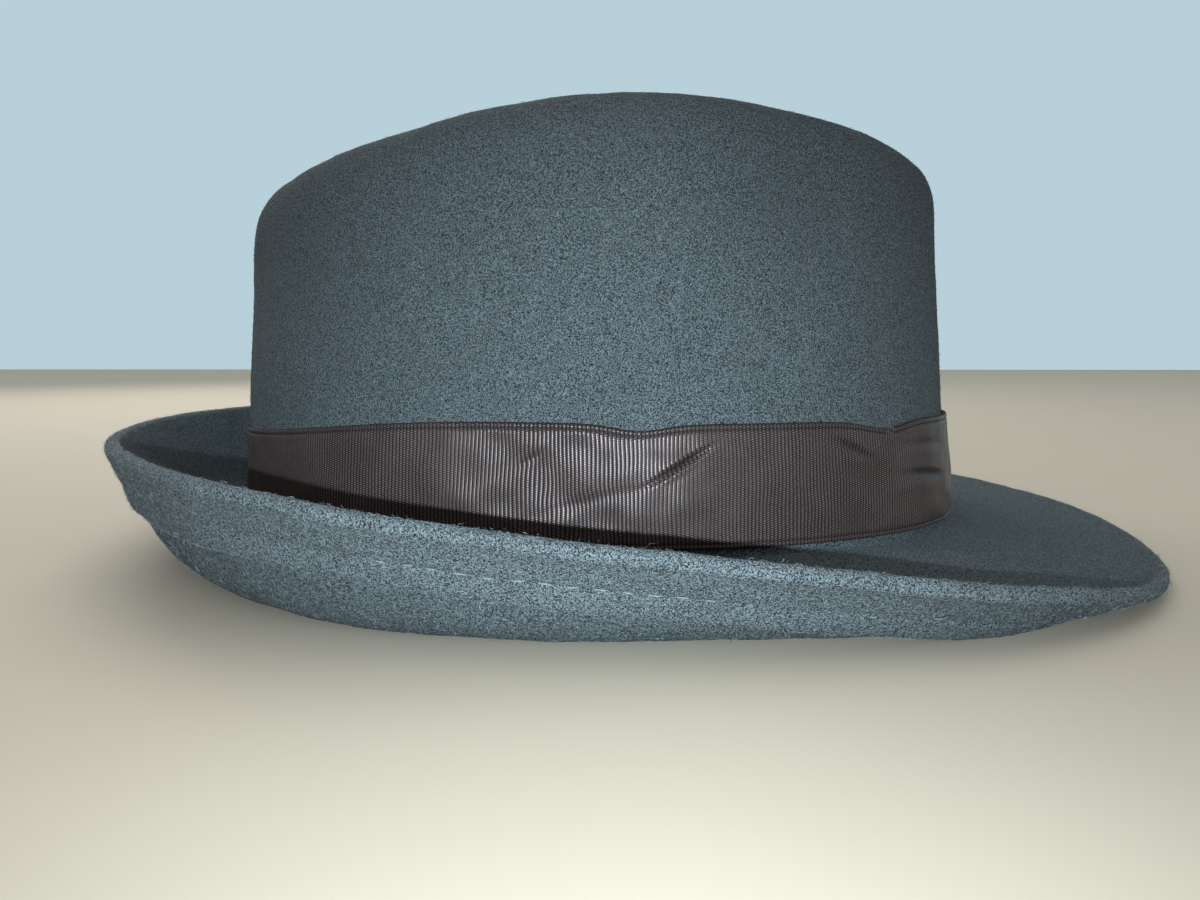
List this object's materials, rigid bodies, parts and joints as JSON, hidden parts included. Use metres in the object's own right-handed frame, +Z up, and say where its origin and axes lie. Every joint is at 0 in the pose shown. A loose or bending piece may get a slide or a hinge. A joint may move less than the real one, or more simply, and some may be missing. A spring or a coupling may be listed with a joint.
{
  "type": "felt hat",
  "caption": "Felt hat with a creased crown, a brim turned up at the back and sides and nearly flat in front, and a ribbed ribbon band; worn on the head, and rests on its brim.",
  "frame": {"origin": "middle of the hat's length and width, on the surface that the brim rests on", "axes": "+X to the wearer's front, +Y to the wearer's left, +Z up"},
  "size_m": [0.2758, 0.2622, 0.1073],
  "materials": {
    "felt": "charcoal grey wool felt with a short fuzzy nap, matt",
    "ribbon": "dark brown grosgrain ribbon with fine upright ribs and a soft sheen"
  },
  "bodies": {
    "root": {"felt_body": "felt", "hat_band": "ribbon"}
  },
  "joints": []
}
